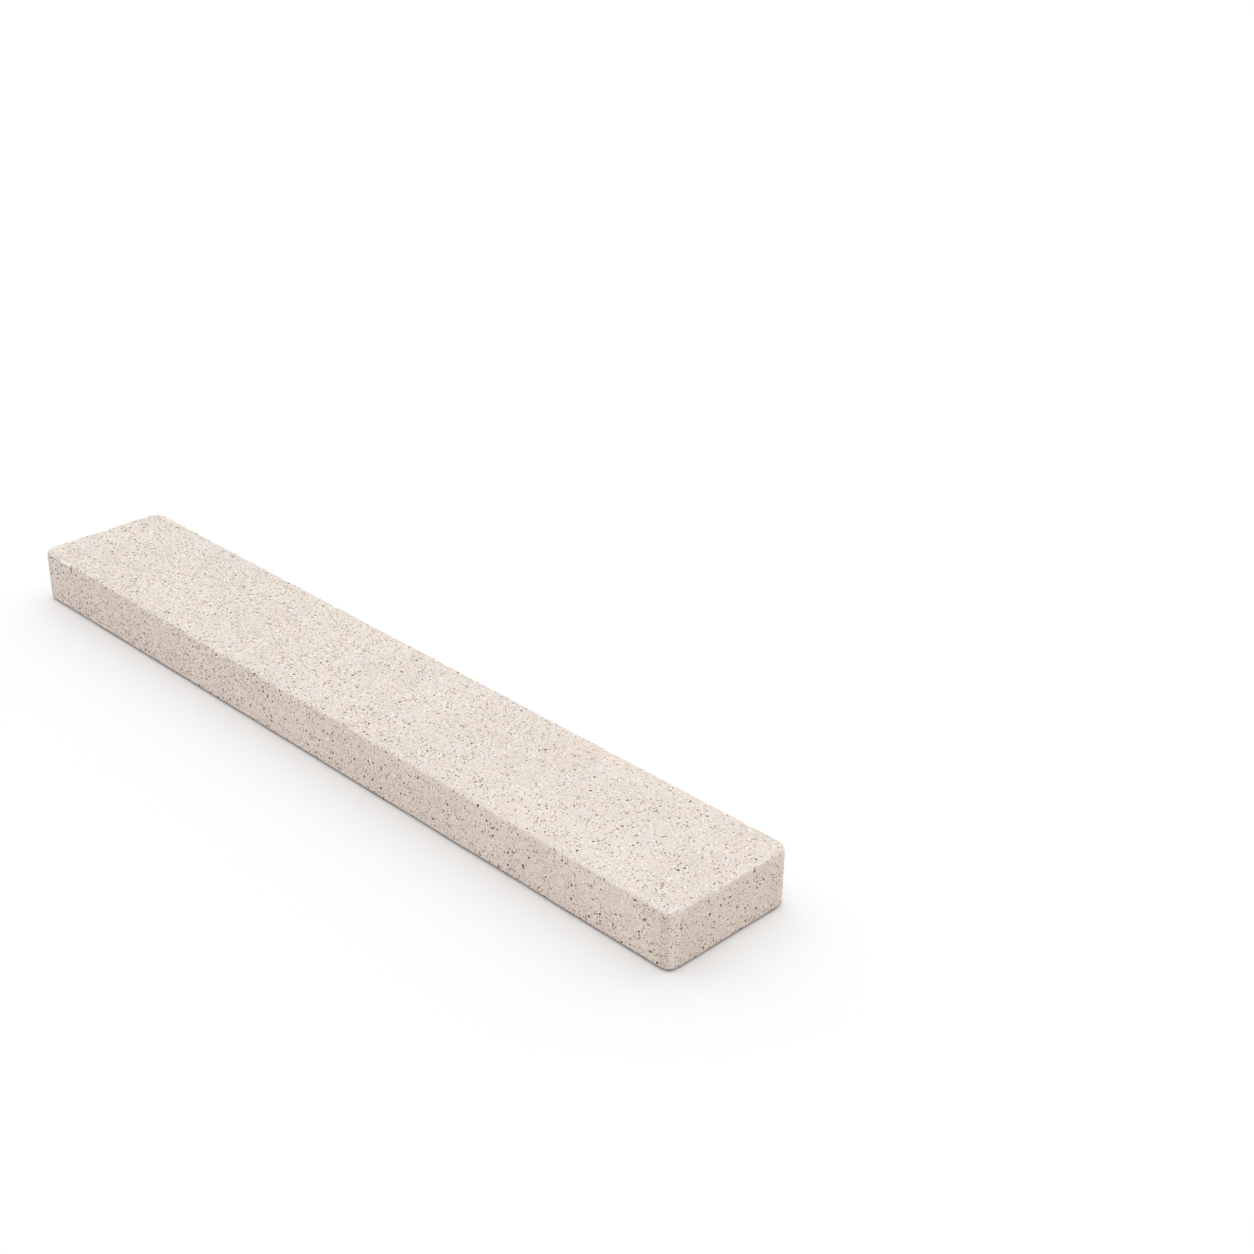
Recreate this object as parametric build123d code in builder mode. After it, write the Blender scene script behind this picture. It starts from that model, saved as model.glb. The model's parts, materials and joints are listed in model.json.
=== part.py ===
"""A long, slim brick slip, lying on its back face with its show face up.

Millimetres. X runs along the slip, Y across its face and Z through its thickness. The origin is the
middle of the back face, which the slip lies on.
"""

import os

from build123d import *

# Overall size of the slip
length = 300.0
face_height = 47.0
thickness = 18.0

# Rounding left by the mould and by tumbling
corner_radius = 3.0  # the four short edges that run through the thickness, seen from the face
face_arris_radius = 1.0  # round the show face
back_arris_radius = 0.8  # round the back face, which goes against the wall


def make_brick_slip():
    """One fired piece: the rounded outline, pushed through its thickness, with both arrises eased."""
    with BuildPart() as slip:
        with BuildSketch(Plane.XY):
            RectangleRounded(length, face_height, corner_radius)
        extrude(amount=thickness)
        fillet(slip.faces().sort_by(Axis.Z)[-1].edges(), radius=face_arris_radius)
        fillet(slip.faces().sort_by(Axis.Z)[0].edges(), radius=back_arris_radius)
    slip.part.label = "brick_slip"
    return slip.part


os.makedirs("parts", exist_ok=True)
export_step(make_brick_slip(), "parts/brick_slip.step")
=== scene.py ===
"""The looks of a long, slim brick slip in pale fired clay, lying on its back face.

Metres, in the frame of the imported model: X along the slip, Y across its face, Z through its
thickness. Sizes that are easier to read in millimetres are written so and multiplied by MM.
"""

import json
import math

import bpy
import numpy as np
from mathutils import Matrix, Vector

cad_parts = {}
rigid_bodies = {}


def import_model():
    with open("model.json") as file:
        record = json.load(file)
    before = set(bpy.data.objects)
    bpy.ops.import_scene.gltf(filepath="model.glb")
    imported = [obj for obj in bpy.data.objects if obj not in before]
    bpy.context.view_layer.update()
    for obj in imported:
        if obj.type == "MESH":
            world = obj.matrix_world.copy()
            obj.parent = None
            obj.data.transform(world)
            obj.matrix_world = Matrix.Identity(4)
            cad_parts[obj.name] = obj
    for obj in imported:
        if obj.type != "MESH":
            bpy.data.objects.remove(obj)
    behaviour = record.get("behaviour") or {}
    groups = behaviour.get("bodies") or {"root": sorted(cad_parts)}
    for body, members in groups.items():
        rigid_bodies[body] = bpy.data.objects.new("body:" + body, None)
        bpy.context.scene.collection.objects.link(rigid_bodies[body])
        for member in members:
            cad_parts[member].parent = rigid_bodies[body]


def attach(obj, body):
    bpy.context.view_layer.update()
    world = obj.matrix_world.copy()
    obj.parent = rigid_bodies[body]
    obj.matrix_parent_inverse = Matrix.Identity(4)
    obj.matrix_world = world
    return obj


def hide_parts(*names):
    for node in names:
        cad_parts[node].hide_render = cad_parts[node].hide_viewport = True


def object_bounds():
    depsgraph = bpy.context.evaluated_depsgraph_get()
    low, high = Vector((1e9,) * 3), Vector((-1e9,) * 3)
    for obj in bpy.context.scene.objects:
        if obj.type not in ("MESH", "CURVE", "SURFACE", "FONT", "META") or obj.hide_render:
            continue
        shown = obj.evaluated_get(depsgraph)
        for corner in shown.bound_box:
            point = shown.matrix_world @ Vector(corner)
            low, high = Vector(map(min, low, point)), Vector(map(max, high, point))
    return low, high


for left_over in list(bpy.data.objects):
    bpy.data.objects.remove(left_over)
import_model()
cad_low, cad_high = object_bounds()

MM = 0.001

# Rounding of the slip in millimetres: near that of the CAD model, and tighter round the show face
CORNER_RADII = {(1, -1): 2.5, (1, 1): 4.2, (-1, 1): 4.2, (-1, -1): 3.6}  # by the signs of X and Y
FACE_ARRIS_RADIUS = 0.6
BACK_ARRIS_RADIUS = 0.8

# Cells of the mesh, about 0.7 mm across
LONG_CELLS = 440
SHORT_CELLS = 60
CORNER_CELLS = 8
SIDE_CELLS = 24
FACE_ARRIS_CELLS = 4
BACK_ARRIS_CELLS = 3
EASING_CELLS = 20  # how far into a face its grid turns from following the rim to being even

# Unevenness of the faces: how far apart the bumps are, and how deep, in millimetres
FACE_BUMPS = ((26.0, 0.11), (8.0, 0.025), (2.6, 0.012), (1.3, 0.015))
BACK_SHARE = 0.4  # the back face lies on the floor and is flatter
BACK_LIFT = 0.4  # the back face clears the floor a little along its rim
BACK_LIFT_REACH = 4.0

# Wear that rounds the arrises further, in millimetres of radius where it is strongest
FACE_WEAR = 0.56
BACK_WEAR = 0.9
WEAR_BUMPS = ((11.0, 0.55), (3.6, 0.3), (1.5, 0.15))  # how far apart its swings are, and their share
FACE_TIP_WEAR = 1.2  # more at the four tips
BACK_TIP_WEAR = 1.0
TIP_REACH = 2.6
TIP_LEAST = 0.7  # share of the tip wear that every tip has
TIP_SWING = 0.6  # share that comes on top where the wear is strongest

# Small flakes gone from the arris of the show face, in millimetres
CHIPS = 18
CHIP_REACH = (0.9, 2.2)
CHIP_DEPTH = (0.1, 0.28)

# A nick in the front arris of the show face, a painted highlight along its edge and the painted shadow
# of its step below its right end, in millimetres
NICK_PLACE = -136.0
NICK_HALF_LENGTH = 3.8
NICK_DEPTH = 0.35
NICK_HIGHLIGHT_DOWN = 1.35  # how far the painted highlight along the nick shows down the side
NICK_HIGHLIGHT_IN = 1.3  # and across the show face
NICK_SHADOW_LENGTH = 3.4
NICK_SHADOW_HALF_WIDTH = 0.6
NICK_SHADOW_IN = 1.1
NICK_SHADOW_STRENGTH = 0.85

# Seeds and table size of the fixed noise
FACE_SEED = 11
FACE_ARRIS_SEED = 41
BACK_ARRIS_SEED = 51
CHIP_SEED = 71
LATTICE = 64

# Camera, where the photograph was taken from
CAMERA_PLACE = (0.4279, -0.3289, 0.3124)
CAMERA_AZIMUTH = 44.08
CAMERA_PITCH = 27.20
CAMERA_ROLL = 1.3
CAMERA_LENS = 57.03
CAMERA_SENSOR = 36.0

# Light: a wide soft source behind the slip, a weak fill in front and an even sky, level 1 in all
SKY_LEVEL = 0.47
SOURCES = {
    "key": {"level": 0.48, "width": 130.0, "from": (-0.70, 0.72, 1.4)},
    "fill": {"level": 0.05, "width": 80.0, "from": (0.56, -0.83, 0.5)},
}
FLOOR_HALF = 20.0
FLOOR_COLOUR = (0.96, 0.968, 0.976)  # a little cool, against the warm light that the slip throws on it
FLOOR_LIFT = 0.037  # what the floor lacks to white, added where it is seen

# Body of the clay: a pale and a deep shade, with patches of four others, in millimetres across
BODY_PALE = (0.872, 0.783, 0.710)
BODY_DEEP = (0.799, 0.710, 0.641)
BODY_WARM = (0.864, 0.734, 0.665)
BODY_GREEN = (0.812, 0.751, 0.678)
BODY_HONEY = (0.844, 0.749, 0.653)
BODY_COOL = (0.840, 0.749, 0.694)
SHADE_SIZE = 22.0
SHADE_LEVELS = (0.38, 0.62)  # of the noise: where the shade starts to turn, and where it has turned
WARM_SIZE = 7.0
WARM_STRENGTH = 0.65
HONEY_SIZE = 9.0
HONEY_STRENGTH = 0.5

# Grain and sand, in millimetres across; of the sand, some grains are deep and some pale
GRAIN_DEEP = (0.52, 0.435, 0.365)
GRAIN_PALE = (1.0, 0.945, 0.89)
GRAIN_SIZE = 0.75
GRAIN_LEVELS = (0.52, 0.30)
GRAIN_STRENGTH = 0.25
SAND_SIZE = 0.42
SAND_DEEP_LEVELS = (0.4, 0.0)
SAND_DEEP_STRENGTH = 0.35
SAND_PALE_LEVELS = (0.7, 1.0)
SAND_PALE_STRENGTH = 0.5

# Ragged edges of specks and strokes, in millimetres
WOBBLE_SIZE = 0.6
WOBBLE = 0.7

# Clumps that the strokes and specks gather in, and how few and how many of them there are
CLUMP_SIZE = 6.0  # millimetres
CLUMP_LEVELS = (0.35, 0.65)
CLUMP_RANGE = (0.8, 1.2)
CROWD_RANGE = (-0.3, 0.4)  # added from the right head to the left one
SIDE_CROWD = 0.15  # added on the sides
HEAD_CROWD = 0.15  # and once more on the heads

# Fine dark strokes along the seams of a cell pattern, in millimetres
STROKE = (0.36, 0.25, 0.18)
STROKE_SPACING = 1.3
STROKE_SEAM = (0.1, 0.04)  # shares of that spacing: where a stroke starts, and where it is full
FLANK_SEAM = (0.38, 0.12)  # the same for its pale flank
FLANK_STRENGTH = 0.5
BREAK_SIZE = 1.1  # of the noise that breaks the strokes up
BREAK_LEVELS = (0.53, 0.61)
STROKE_CLUMP = 0.2  # how much that noise is raised in a clump
STROKE_LEFT = 0.09  # and towards the left head

# Specks, in millimetres: spacing, share of places taken, radius, colour and strength
SPECK_FINE = (0.26, 0.155, 0.09)
LIGHT_SPECKS = (1.2, 0.55, 0.31)
DARK_SPECKS = (
    (1.1, 0.45, 0.28, SPECK_FINE, 0.95),
    (2.1, 0.40, 0.40, (0.17, 0.10, 0.06), 1.0),
    (6.0, 0.35, 0.48, (0.10, 0.06, 0.035), 0.95),
)
SPECK_SPREAD = (0.6, 1.25)  # of their radius
SPECK_SOFTNESS = 0.2  # of their radius
SPECK_RIM = 0.4  # width of the pale rim
RIM_STRENGTH = 0.7

# Sides, found by the way that the surface faces: where they start, and where they are full
SIDE_UPWARD = (0.8, 0.2)  # share of that way that is up or down
HEAD_OUTWARD = (0.6, 0.9)  # share that is out of the head, or for a bed face out of that
SIDE_PAINTED_SHADE = (0.984, 0.95, 0.939)  # painted shade: the bed and head faces darker and warmer than the show face, as the light falls on them
HEAD_PAINTED_SHADE = (0.99, 0.978, 0.960)  # and the heads are painted a little darker and yellower still

# Painted contact shadow: the clay darkened along the back rim, where the slip meets the floor, so that
# it shows as a dark line there; in millimetres
BACK_CONTACT_SHADOW = (0.30, 0.23, 0.18)
BACK_CONTACT_SHADOW_TOP = 1.2
BACK_CONTACT_SHADOW_FULL = 0.4
BACK_CONTACT_SHADOW_AT_HEAD = 0.3  # the share of it there

# The four upright arrises, in millimetres: painted shade on the bed face and a painted highlight on the
# head face, as the light falls across the corner
UPRIGHT_REACH = 5.0
UPRIGHT_PAINTED_SHADE = (0.905, 0.90, 0.90)
UPRIGHT_PAINTED_HIGHLIGHT = 0.45
UPRIGHT_STROKES = 0.045  # how much the noise that breaks up the strokes is raised there

# Fine relief, in millimetres, and gloss
RELIEF_SIZE = 0.8
RELIEF_DEPTH = 0.25
RELIEF_STRENGTH = 0.8
PIT_SHARE = 0.6  # how far the specks are sunk
ROUGHNESS = (0.82, 0.95)
ROUGHNESS_LEVELS = (0.3, 0.7)
SPECULAR = 0.3


# Shape of the slip


def outline_of_ring(size_x, size_y):
    """Centres that the rim turns round, their radii and the way it faces, counter-clockwise."""
    corners = [
        np.array((sign_x * (size_x / 2 - radius), sign_y * (size_y / 2 - radius), radius))
        for (sign_x, sign_y), radius in CORNER_RADII.items()
    ]
    cells = [LONG_CELLS, SHORT_CELLS, LONG_CELLS, SHORT_CELLS]
    half = CORNER_CELLS // 2
    centres, angles = [], []
    start = corners[-1]
    for side, (end, count) in enumerate(zip(corners, cells)):
        facing = -90.0 + 90.0 * side
        for step in range(half):
            centres.append(start)
            angles.append(facing - 45.0 + 45.0 * step / half)
        for step in range(count + 1):
            share = step / count
            centres.append(start + (end - start) * share)
            angles.append(facing)
        for step in range(1, half):
            centres.append(end)
            angles.append(facing + 45.0 * step / half)
        start = end
    turned, centres = np.radians(angles), np.array(centres)
    return centres[:, :2], centres[:, 2:], np.column_stack([np.cos(turned), np.sin(turned)])


def profile_up_the_side(size_z):
    """Inset, height and tilt of the surface at each ring, from the back face up to the show face."""
    rows = []
    for step in range(BACK_ARRIS_CELLS + 1):
        tilt = math.radians(-90.0 + 90.0 * step / BACK_ARRIS_CELLS)
        inset = BACK_ARRIS_RADIUS * (1 - math.cos(tilt))
        rows.append((inset, BACK_ARRIS_RADIUS * (1 + math.sin(tilt)), tilt))
    low, high = BACK_ARRIS_RADIUS, size_z - FACE_ARRIS_RADIUS
    for step in range(1, SIDE_CELLS):
        rows.append((0.0, low + (high - low) * step / SIDE_CELLS, 0.0))
    for step in range(FACE_ARRIS_CELLS + 1):
        tilt = math.radians(90.0 * step / FACE_ARRIS_CELLS)
        inset = FACE_ARRIS_RADIUS * (1 - math.cos(tilt))
        rows.append((inset, high + FACE_ARRIS_RADIUS * math.sin(tilt), tilt))
    return rows


def fill_of_face(rim, cells_x, cells_y):
    """An even grid over a flat face whose border nodes sit on the rim."""
    low, high = rim.min(0), rim.max(0)
    even_x = np.linspace(low[0], high[0], cells_x + 1)
    even_y = np.linspace(low[1], high[1], cells_y + 1)
    grid = np.stack(np.meshgrid(even_x, even_y, indexing="ij"), axis=-1)
    south = rim[: cells_x + 1]
    east = rim[cells_x : cells_x + cells_y + 1]
    north = rim[cells_x + cells_y : 2 * cells_x + cells_y + 1][::-1]
    west = np.vstack([rim[2 * cells_x + cells_y :], rim[:1]])[::-1]
    shift_s, shift_n = south - grid[:, 0], north - grid[:, -1]
    shift_w, shift_e = west - grid[0], east - grid[-1]

    def fade(count):
        return np.clip(1 - np.arange(count) / EASING_CELLS, 0, 1) ** 2

    from_s, from_w = fade(cells_y + 1), fade(cells_x + 1)
    from_n, from_e = from_s[::-1], from_w[::-1]
    moved = (
        grid
        + shift_s[:, None] * from_s[None, :, None]
        + shift_n[:, None] * from_n[None, :, None]
        + shift_w[None] * from_w[:, None, None]
        + shift_e[None] * from_e[:, None, None]
    )
    for corner, fade_x, fade_y in (
        (shift_s[0], from_w, from_s),
        (shift_s[-1], from_e, from_s),
        (shift_n[0], from_w, from_n),
        (shift_n[-1], from_e, from_n),
    ):
        moved -= corner * (fade_x[:, None] * fade_y[None])[..., None]
    return moved


def rim_index(cells_x, cells_y):
    """Which ring point each border node of a face's grid is; inner nodes are -1."""
    index = -np.ones((cells_x + 1, cells_y + 1), int)
    total = 2 * (cells_x + cells_y)
    index[:, 0] = np.arange(cells_x + 1)
    index[-1, :] = cells_x + np.arange(cells_y + 1)
    index[:, -1] = cells_x + cells_y + np.arange(cells_x + 1)[::-1]
    index[0, :] = (2 * cells_x + cells_y + np.arange(cells_y + 1)[::-1]) % total
    return index


def slip_surface(size):
    """Points, outward normals and faces of the slip in millimetres, before any wear."""
    centres, radii, facing = outline_of_ring(size[0], size[1])
    cells_x, cells_y = LONG_CELLS + CORNER_CELLS, SHORT_CELLS + CORNER_CELLS
    around = len(centres)
    points, normals, faces = [], [], []
    rows = profile_up_the_side(size[2])
    for inset, height, tilt in rows:
        flat = centres + facing * (radii - inset)
        points.append(np.column_stack([flat, np.full(around, height)]))
        normals.append(np.column_stack([facing * math.cos(tilt), np.full(around, math.sin(tilt))]))
    ring = np.arange(around)
    after = (ring + 1) % around
    for row in range(len(rows) - 1):
        base, over = row * around, (row + 1) * around
        faces.append(np.column_stack([base + ring, base + after, over + after, over + ring]))
    count = len(rows) * around
    border = rim_index(cells_x, cells_y)
    inner = border < 0
    for row, height, up in ((0, 0.0, -1.0), (len(rows) - 1, size[2], 1.0)):
        grid = fill_of_face(points[row][:, :2], cells_x, cells_y)
        nodes = np.where(inner, 0, border + row * around)
        nodes[inner] = count + np.arange(inner.sum())
        points.append(np.column_stack([grid[inner], np.full(inner.sum(), height)]))
        normals.append(np.tile((0.0, 0.0, up), (inner.sum(), 1)))
        count += inner.sum()
        quads = np.stack([nodes[:-1, :-1], nodes[1:, :-1], nodes[1:, 1:], nodes[:-1, 1:]], axis=-1)
        quads = quads.reshape(-1, 4)
        faces.append(quads if up > 0 else quads[:, ::-1])
    return np.vstack(points), np.vstack(normals), np.vstack(faces)


# Wear of the slip


def lattice_noise(points, cell, seed):
    """Smooth noise from -1 to 1 whose bumps are about one cell across."""
    table = np.random.default_rng(seed).uniform(-1, 1, (LATTICE, LATTICE, LATTICE))
    at = points / cell + LATTICE * 1000.0  # many whole tables further on, where nothing is negative
    low = np.floor(at).astype(int)
    share = at - low
    share = share * share * (3 - 2 * share)
    value = np.zeros(len(points))
    for dx in (0, 1):
        for dy in (0, 1):
            for dz in (0, 1):
                weight = np.ones(len(points))
                for axis, step in enumerate((dx, dy, dz)):
                    weight *= share[:, axis] if step else 1 - share[:, axis]
                corner = (low + (dx, dy, dz)) % LATTICE
                value += weight * table[corner[:, 0], corner[:, 1], corner[:, 2]]
    return value


def spread_noise(points, bumps, seed):
    """Noise from 0 to 1, summed over several sizes of bump."""
    return sum(
        share * (0.5 + 0.5 * lattice_noise(points, cell, seed + number))
        for number, (cell, share) in enumerate(bumps)
    )


def inset_from_rim(points, size):
    """How far inside the slip's outline each point is, seen from the face, and the way out."""
    half = np.array(size[:2]) / 2
    radius = np.zeros(len(points))
    for (sign_x, sign_y), corner in CORNER_RADII.items():
        radius[(points[:, 0] * sign_x >= 0) & (points[:, 1] * sign_y >= 0)] = corner
    beyond = np.abs(points[:, :2]) - (half - radius[:, None])
    outside = np.maximum(beyond, 0)
    length = np.linalg.norm(outside, axis=1)
    inset = radius - length - np.minimum(beyond.max(1), 0)
    nearest = np.where(beyond == beyond.max(1)[:, None], 1.0, 0.0)
    way = np.where(length[:, None] > 1e-9, outside / np.maximum(length, 1e-9)[:, None], nearest)
    return inset, way * np.sign(points[:, :2])


def round_arris(points, size, at_face):
    """The points of one arris moved in, to a radius that varies along it and grows at the tips."""
    if at_face:
        radius, wear, tip_wear, seed = FACE_ARRIS_RADIUS, FACE_WEAR, FACE_TIP_WEAR, FACE_ARRIS_SEED
    else:
        radius, wear, tip_wear, seed = BACK_ARRIS_RADIUS, BACK_WEAR, BACK_TIP_WEAR, BACK_ARRIS_SEED
    inset, way = inset_from_rim(points, size)
    depth = size[2] - points[:, 2] if at_face else points[:, 2]
    on_rim = points.copy()
    on_rim[:, 2] = size[2] if at_face else 0.0
    noise = spread_noise(on_rim, WEAR_BUMPS, seed)
    from_tip = np.linalg.norm(np.array(size[:2]) / 2 - np.abs(points[:, :2]), axis=1)
    at_tip = np.exp(-((from_tip / TIP_REACH) ** 2))
    radius = radius + wear * noise**2 + tip_wear * at_tip * (TIP_LEAST + TIP_SWING * noise)
    across, along = np.maximum(radius - inset, 0), np.maximum(radius - depth, 0)
    reach = np.hypot(across, along)
    pull = np.maximum(reach - radius, 0) / np.maximum(reach, 1e-9)
    moved = points.copy()
    moved[:, :2] -= way * (across * pull)[:, None]
    moved[:, 2] += (along * pull) * (-1 if at_face else 1)
    return moved


def chipped(points, size):
    """The points near the show face's arris moved in where flakes have gone."""
    pick = np.random.default_rng(CHIP_SEED)
    half = np.array(size[:2]) / 2
    flakes = [(np.array([NICK_PLACE, -half[1]]), NICK_HALF_LENGTH, NICK_DEPTH)]
    for _ in range(CHIPS):
        along, turn = pick.uniform(-1, 1) * half, pick.random()
        on_long = turn < size[0] / (size[0] + size[1])
        side = half * pick.choice((-1, 1), 2)
        spot = np.array([along[0], side[1]]) if on_long else np.array([side[0], along[1]])
        flakes.append((spot, pick.uniform(*CHIP_REACH), pick.uniform(*CHIP_DEPTH)))
    _, way = inset_from_rim(points, size)
    below = (size[2] - points[:, 2]) / CHIP_REACH[1]
    moved = points.copy()
    for spot, reach, depth in flakes:
        aside = np.linalg.norm(points[:, :2] - spot, axis=1) / reach
        pull = depth * np.clip(1 - np.hypot(aside, below) ** 2, 0, 1)
        moved[:, :2] -= way * pull[:, None]
        moved[:, 2] -= pull
    return moved


def worn(points, normals, size):
    """The points moved for softened arrises, uneven faces and a lifted back rim, never outwards."""
    inset, _ = inset_from_rim(points, size)
    at_back = normals[:, 2] < -0.5
    moved = round_arris(round_arris(points, size, True), size, False)
    moved = chipped(moved, size)
    depth = np.zeros(len(points))
    for number, (cell, height) in enumerate(FACE_BUMPS):
        depth += height * (1 + lattice_noise(points, cell, FACE_SEED + number)) * 0.5
    depth *= np.where(at_back, BACK_SHARE, 1.0)
    moved = moved - normals * depth[:, None]
    near_rim = np.clip(1 - inset / BACK_LIFT_REACH, 0, 1)
    moved[:, 2] += np.where(at_back, BACK_LIFT * near_rim**2 * (3 - 2 * near_rim), 0)
    return moved


def make_slip():
    size = (np.array(cad_high) - np.array(cad_low)) / MM
    points, normals, faces = slip_surface(size)
    points = worn(points, normals, size)
    mesh = bpy.data.meshes.new("brick_slip_face")
    mesh.from_pydata((points * MM).tolist(), [], faces.tolist())
    mesh.polygons.foreach_set("use_smooth", [True] * len(mesh.polygons))
    mesh.update()
    slip = bpy.data.objects.new("worn_slip", mesh)
    bpy.context.scene.collection.objects.link(slip)
    return slip


# Building blocks of a material


class Graph:
    """Adds shader nodes and joins them."""

    def __init__(self, material):
        self.tree = material.node_tree
        self.tree.nodes.clear()

    def add(self, kind, inputs=None, **settings):
        node = self.tree.nodes.new(kind)
        for name, value in settings.items():
            setattr(node, name, value)
        for name, value in (inputs or {}).items():
            if isinstance(value, bpy.types.NodeSocket):
                self.tree.links.new(value, node.inputs[name])
            else:
                node.inputs[name].default_value = value
        return node

    def math(self, operation, first, second=0.0):
        return self.add("ShaderNodeMath", {0: first, 1: second}, operation=operation).outputs[0]

    def plus(self, first, second):
        return self.math("ADD", first, second)

    def times(self, first, *others):
        for other in others:
            first = self.math("MULTIPLY", first, other)
        return first

    def split(self, vector):
        return self.add("ShaderNodeSeparateXYZ", {"Vector": vector}).outputs

    def ramp(self, value, low, high, to_low=0.0, to_high=1.0):
        """The value's smooth way from low to high, told as a number from to_low to to_high."""
        node = self.add(
            "ShaderNodeMapRange",
            {"Value": value, "From Min": low, "From Max": high, "To Min": to_low, "To Max": to_high},
            interpolation_type="SMOOTHSTEP",
        )
        return node.outputs["Result"]

    def near(self, value, centre, reach):
        """1 where the value is close to the centre, down to 0 at that reach from it."""
        away = self.math("ABSOLUTE", self.math("SUBTRACT", value, centre))
        return self.ramp(away, reach, reach * 0.6)

    def noise(self, where, size, output="Fac", detail=2.0, roughness=0.5, distortion=0.0):
        """Noise whose features are about size millimetres across."""
        inputs = {"Vector": where, "Scale": 1 / (size * MM), "Detail": detail}
        inputs.update({"Roughness": roughness, "Distortion": distortion})
        return self.add("ShaderNodeTexNoise", inputs).outputs[output]

    def cells(self, where, size, feature="F1"):
        """Irregular cells about size millimetres across."""
        inputs = {"Vector": where, "Scale": 1 / (size * MM)}
        return self.add("ShaderNodeTexVoronoi", inputs, feature=feature).outputs

    def chance(self, cells):
        """Three random numbers for each of these cells, as Red, Green and Blue."""
        return self.add("ShaderNodeSeparateColor", {"Color": cells["Color"]}).outputs

    def specks(self, where, spacing, share, radius, crowd):
        """Specks, about one in each spacing millimetres in that share of places, and their pale rims."""
        cells = self.cells(where, spacing)
        chance = self.chance(cells)
        kept = self.math("LESS_THAN", chance["Red"], self.times(crowd, share))
        smallest, largest = (radius * spread / spacing for spread in SPECK_SPREAD)
        size = self.ramp(chance["Green"], 0.0, 1.0, smallest, largest)
        inside = self.math("SUBTRACT", size, cells["Distance"])
        core = self.ramp(inside, 0.0, SPECK_SOFTNESS * radius / spacing)
        rim = self.ramp(inside, -SPECK_RIM / spacing, 0.0)
        return self.times(core, kept), self.times(rim, kept)

    def mix(self, share, first, second):
        node = self.add("ShaderNodeMix", data_type="RGBA")
        for name, value in (("Factor", share), (6, first), (7, second)):
            socket = node.inputs[name]
            if isinstance(value, bpy.types.NodeSocket):
                self.tree.links.new(value, socket)
            else:
                socket.default_value = (*value, 1.0) if isinstance(value, tuple) else value
        return node.outputs[2]

    def tint(self, share, colour, by):
        inputs = {"Factor": share, 6: colour, 7: (*by, 1.0)}
        return self.add("ShaderNodeMix", inputs, data_type="RGBA", blend_type="MULTIPLY").outputs[2]


class Spot:
    """Where a point of the slip is, and how far it belongs to each part of the slip, from 0 to 1."""

    def __init__(self, g):
        coordinates = g.add("ShaderNodeTexCoord").outputs
        self.place = coordinates["Object"]
        self.along, self.across, self.height = g.split(self.place)
        facing = [g.math("ABSOLUTE", axis) for axis in g.split(coordinates["Normal"])]
        self.side = g.ramp(facing[2], *SIDE_UPWARD)
        self.head = g.times(self.side, g.ramp(facing[0], *HEAD_OUTWARD))
        self.bed = g.ramp(facing[1], *HEAD_OUTWARD)
        at_head, at_bed = (
            g.near(g.math("ABSOLUTE", way), edge, UPRIGHT_REACH * MM)
            for way, edge in ((self.along, cad_high[0]), (self.across, cad_high[1]))
        )
        self.upright = g.times(at_head, at_bed, self.side)

        wobble = g.noise(self.place, WOBBLE_SIZE, output="Color", detail=1.0)
        for operation, inputs in (
            ("SUBTRACT", {1: (0.5, 0.5, 0.5)}),
            ("SCALE", {"Scale": WOBBLE * MM}),
            ("ADD", {1: self.place}),
        ):
            wobble = g.add("ShaderNodeVectorMath", {0: wobble, **inputs}, operation=operation).outputs[0]
        self.ragged = wobble

        self.leftwards = g.ramp(self.along, cad_high[0], cad_low[0], *CROWD_RANGE)
        clump = g.noise(self.place, CLUMP_SIZE)
        self.clump = g.ramp(clump, *CLUMP_LEVELS, *CLUMP_RANGE)


# Material of the slip


def body_of_clay(g, at):
    """Slow changes of colour, and a painted highlight on the upright arrises on the head side."""
    colour = g.mix(g.ramp(g.noise(at.place, SHADE_SIZE), *SHADE_LEVELS), BODY_PALE, BODY_DEEP)
    warm = g.noise(at.place, WARM_SIZE, detail=3.0, roughness=0.6)
    honey = g.noise(at.ragged, HONEY_SIZE)
    for noise, start, full, strength, shade in (
        (warm, 0.5, 0.66, WARM_STRENGTH, BODY_WARM),
        (warm, 0.48, 0.34, WARM_STRENGTH, BODY_GREEN),
        (honey, 0.5, 0.66, HONEY_STRENGTH, BODY_HONEY),
        (honey, 0.5, 0.34, HONEY_STRENGTH, BODY_COOL),
    ):
        colour = g.mix(g.ramp(noise, start, full, 0.0, strength), colour, shade)
    # painted highlight on the head side of the upright arrises
    return g.mix(g.times(at.upright, at.head, UPRIGHT_PAINTED_HIGHLIGHT), colour, GRAIN_PALE)


def with_grain(g, at, colour, grain):
    """The grain's deep hollows, and sand of deep and pale grains."""
    colour = g.mix(g.ramp(grain, *GRAIN_LEVELS, 0.0, GRAIN_STRENGTH), colour, GRAIN_DEEP)
    sand = g.chance(g.cells(at.ragged, SAND_SIZE))["Blue"]
    colour = g.mix(g.ramp(sand, *SAND_DEEP_LEVELS, 0.0, SAND_DEEP_STRENGTH), colour, GRAIN_DEEP)
    return g.mix(g.ramp(sand, *SAND_PALE_LEVELS, 0.0, SAND_PALE_STRENGTH), colour, GRAIN_PALE)


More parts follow.
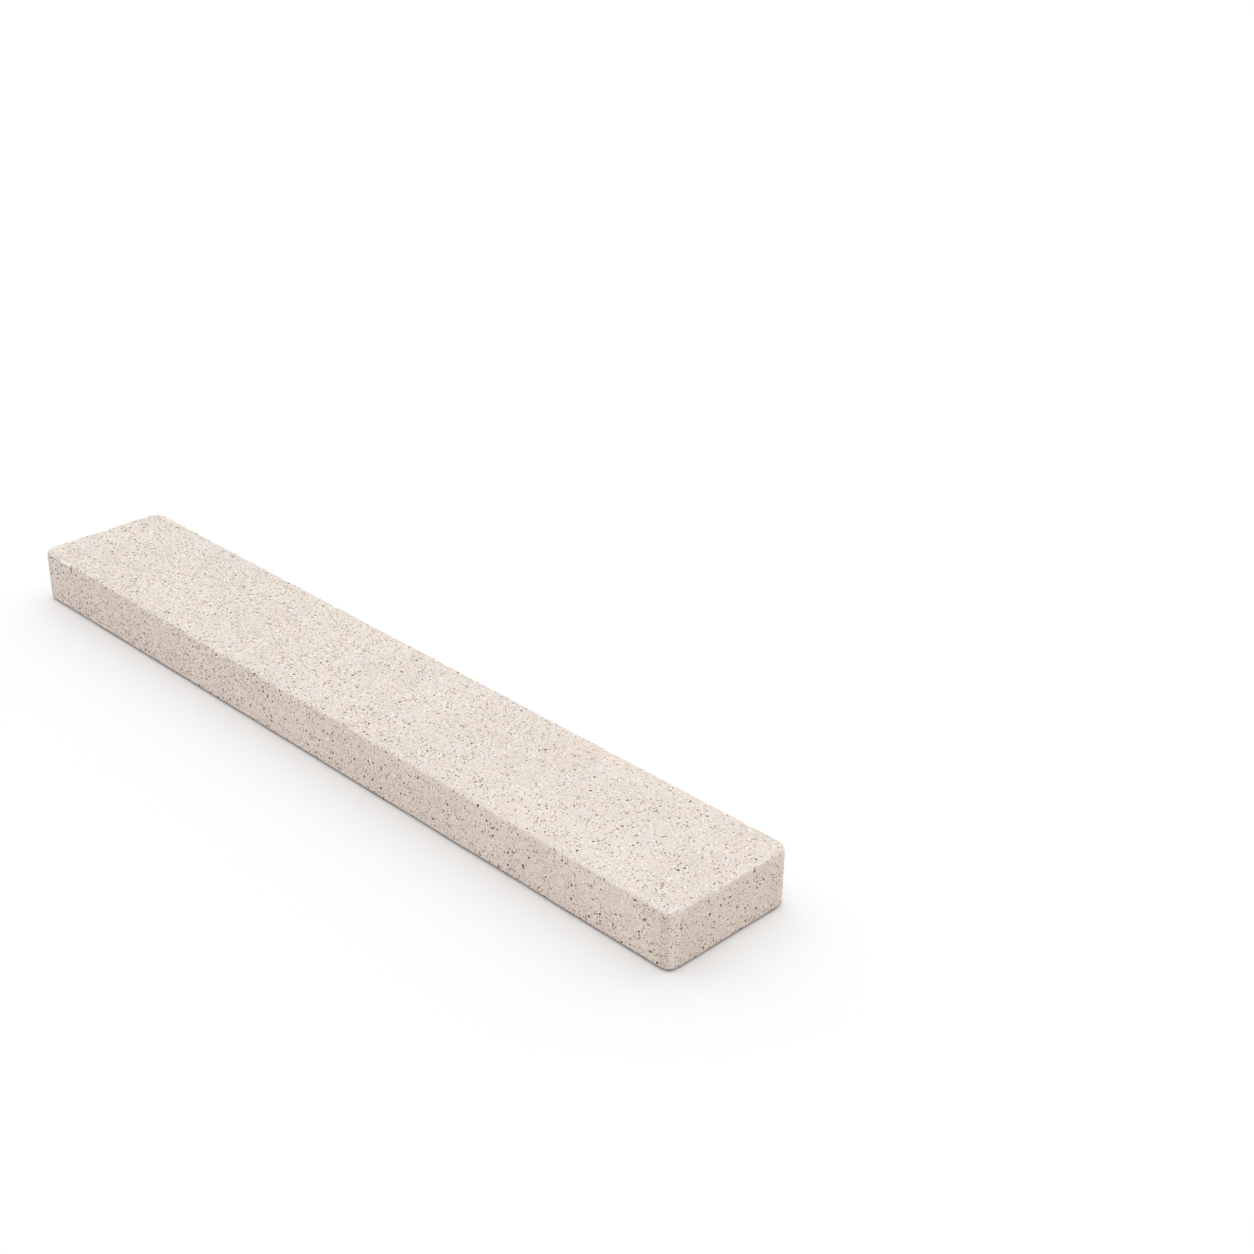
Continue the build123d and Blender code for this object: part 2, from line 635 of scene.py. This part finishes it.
def with_strokes(g, at, colour):
    """Fine dark strokes, broken up and in clumps, each with a pale flank."""
    seams = g.cells(at.ragged, STROKE_SPACING, "DISTANCE_TO_EDGE")["Distance"]
    broken = g.plus(g.noise(at.place, BREAK_SIZE, detail=1.0), g.times(at.upright, UPRIGHT_STROKES))
    broken = g.plus(broken, g.times(g.math("SUBTRACT", at.clump, 1.0), STROKE_CLUMP))
    broken = g.plus(broken, g.times(at.leftwards, STROKE_LEFT))
    broken = g.ramp(broken, *BREAK_LEVELS)
    flank = g.times(g.ramp(seams, *FLANK_SEAM), broken, FLANK_STRENGTH)
    colour = g.mix(flank, colour, GRAIN_PALE)
    return g.mix(g.times(g.ramp(seams, *STROKE_SEAM), broken), colour, STROKE)


def with_specks(g, at, colour):
    """Pale specks, then dark ones with pale rims; also where the dark ones are."""
    light, _ = g.specks(at.ragged, *LIGHT_SPECKS, at.clump)
    colour = g.mix(light, colour, GRAIN_PALE)
    crowd = g.plus(at.clump, at.leftwards)
    crowd = g.plus(crowd, g.times(at.side, SIDE_CROWD))
    crowd = g.plus(crowd, g.times(at.head, HEAD_CROWD))
    dark = 0.0
    for spacing, share, radius, speck, strength in DARK_SPECKS:
        core, rim = g.specks(at.ragged, spacing, share, radius, crowd)
        colour = g.mix(g.times(rim, RIM_STRENGTH), colour, GRAIN_PALE)
        colour = g.mix(g.times(core, strength), colour, speck)
        dark = g.math("MAXIMUM", core, dark)
    return colour, dark


def with_painted_shade(g, at, colour):
    """Painted shade: darker sides and heads, shaded upright arrises on the bed faces, and a painted
    contact shadow along the back rim.
    """
    # painted shade on the sides and heads, darker and warmer than the show face
    colour = g.tint(at.side, colour, SIDE_PAINTED_SHADE)
    colour = g.tint(at.head, colour, HEAD_PAINTED_SHADE)
    # painted shade on the bed side of the upright arrises
    colour = g.tint(g.times(at.upright, at.bed), colour, UPRIGHT_PAINTED_SHADE)
    # painted contact shadow along the back rim, where the slip meets the floor
    rim = g.ramp(at.height, BACK_CONTACT_SHADOW_TOP * MM, BACK_CONTACT_SHADOW_FULL * MM)
    rim = g.times(rim, g.ramp(at.head, 0.0, 1.0, 1.0, BACK_CONTACT_SHADOW_AT_HEAD))
    return g.tint(rim, colour, BACK_CONTACT_SHADOW)


def with_nick(g, at, colour):
    """Painted highlight along the nick's edge, and the painted shadow of its step below its right end.
    """
    top, front = cad_high[2], cad_low[1]
    # painted highlight where the nick's edge catches the light
    nick_highlight = g.times(
        g.near(at.along, NICK_PLACE * MM, NICK_HALF_LENGTH * MM),
        g.near(at.height, top, NICK_HIGHLIGHT_DOWN * MM),
        g.near(at.across, front, NICK_HIGHLIGHT_IN * MM),
    )
    colour = g.mix(nick_highlight, colour, GRAIN_PALE)
    # painted shadow of the nick's step, below its right end
    nick_shadow = g.times(
        g.near(g.split(at.ragged)["X"], (NICK_PLACE + NICK_HALF_LENGTH) * MM, NICK_SHADOW_HALF_WIDTH * MM),
        g.near(at.height, top - NICK_SHADOW_LENGTH / 2 * MM, NICK_SHADOW_LENGTH / 2 * MM),
        g.near(at.across, front, NICK_SHADOW_IN * MM),
    )
    return g.mix(g.times(nick_shadow, NICK_SHADOW_STRENGTH), colour, SPECK_FINE)


def fired_clay():
    material = bpy.data.materials.new("fired_clay")
    material.use_nodes = True
    g = Graph(material)
    at = Spot(g)
    grain = g.noise(at.place, GRAIN_SIZE, detail=1.0, distortion=0.4)
    colour = with_grain(g, at, body_of_clay(g, at), grain)
    colour, dark = with_specks(g, at, with_strokes(g, at, colour))
    colour = with_nick(g, at, with_painted_shade(g, at, colour))

    relief = g.noise(at.place, RELIEF_SIZE, detail=3.0, roughness=0.65)
    rise = g.math("SUBTRACT", relief, g.times(dark, PIT_SHARE))
    bump = g.add(
        "ShaderNodeBump", {"Height": rise, "Strength": RELIEF_STRENGTH, "Distance": RELIEF_DEPTH * MM}
    )
    shader = g.add(
        "ShaderNodeBsdfPrincipled",
        {
            "Base Color": colour,
            "Roughness": g.ramp(grain, *ROUGHNESS_LEVELS, *ROUGHNESS),
            "Normal": bump.outputs["Normal"],
            "Specular IOR Level": SPECULAR,
        },
    )
    g.add("ShaderNodeOutputMaterial", {"Surface": shader.outputs["BSDF"]})
    return material


# Floor, light and camera


def seen_directly(g):
    """1 for rays that show the background: from the camera, in gloss or through glass."""
    path = g.add("ShaderNodeLightPath").outputs
    seen = g.math("MAXIMUM", path["Is Camera Ray"], path["Is Glossy Ray"])
    return g.math("MAXIMUM", seen, path["Is Transmission Ray"])


def make_floor():
    material = bpy.data.materials.new("white_floor")
    material.use_nodes = True
    g = Graph(material)
    paper = g.add("ShaderNodeBsdfDiffuse", {"Color": (*FLOOR_COLOUR, 1.0)})
    lift = g.add("ShaderNodeEmission", {"Strength": g.times(seen_directly(g), FLOOR_LIFT)})
    both = g.add("ShaderNodeAddShader", {0: paper.outputs[0], 1: lift.outputs[0]})
    g.add("ShaderNodeOutputMaterial", {"Surface": both.outputs[0]})
    mesh = bpy.data.meshes.new("floor")
    corners = [(x * FLOOR_HALF, y * FLOOR_HALF, 0.0) for x, y in ((-1, -1), (1, -1), (1, 1), (-1, 1))]
    mesh.from_pydata(corners, [], [(0, 1, 2, 3)])
    mesh.materials.append(material)
    floor = bpy.data.objects.new("floor", mesh)
    bpy.context.scene.collection.objects.link(floor)


def make_light():
    world = bpy.data.worlds.new("studio")
    bpy.context.scene.world = world
    world.use_nodes = True
    g = Graph(world)
    sky, white = (
        g.add("ShaderNodeBackground", {"Color": (1.0, 1.0, 1.0, 1.0), "Strength": level})
        for level in (SKY_LEVEL, 1.0)
    )
    both = g.add("ShaderNodeMixShader", {0: seen_directly(g), 1: sky.outputs[0], 2: white.outputs[0]})
    g.add("ShaderNodeOutputWorld", {"Surface": both.outputs[0]})

    for name, source in SOURCES.items():
        light = bpy.data.lights.new(name, "SUN")
        light.angle = math.radians(source["width"])
        way = Vector(source["from"]).normalized()
        light.energy = source["level"] * math.pi / way.z
        lamp = bpy.data.objects.new(name, light)
        lamp.rotation_mode = "QUATERNION"
        lamp.rotation_quaternion = way.to_track_quat("Z", "Y")
        bpy.context.scene.collection.objects.link(lamp)


def make_camera():
    azimuth, pitch, roll = (math.radians(a) for a in (CAMERA_AZIMUTH, CAMERA_PITCH, CAMERA_ROLL))
    forward = Vector(
        (-math.sin(azimuth) * math.cos(pitch), math.cos(azimuth) * math.cos(pitch), -math.sin(pitch))
    )
    level = Vector((math.cos(azimuth), math.sin(azimuth), 0.0))
    upright = level.cross(forward)
    right = level * math.cos(roll) + upright * math.sin(roll)
    up = right.cross(forward)
    camera = bpy.data.cameras.new("camera")
    camera.lens = CAMERA_LENS
    camera.sensor_width = CAMERA_SENSOR
    holder = bpy.data.objects.new("camera", camera)
    turn = Matrix((right, up, -forward)).transposed()
    holder.matrix_world = Matrix.Translation(CAMERA_PLACE) @ turn.to_4x4()
    bpy.context.scene.collection.objects.link(holder)
    bpy.context.scene.camera = holder


slip = make_slip()
slip.data.materials.append(fired_clay())
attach(slip, "root")
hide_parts("brick_slip")

make_floor()
make_light()
make_camera()
bpy.context.scene.view_settings.view_transform = "Standard"
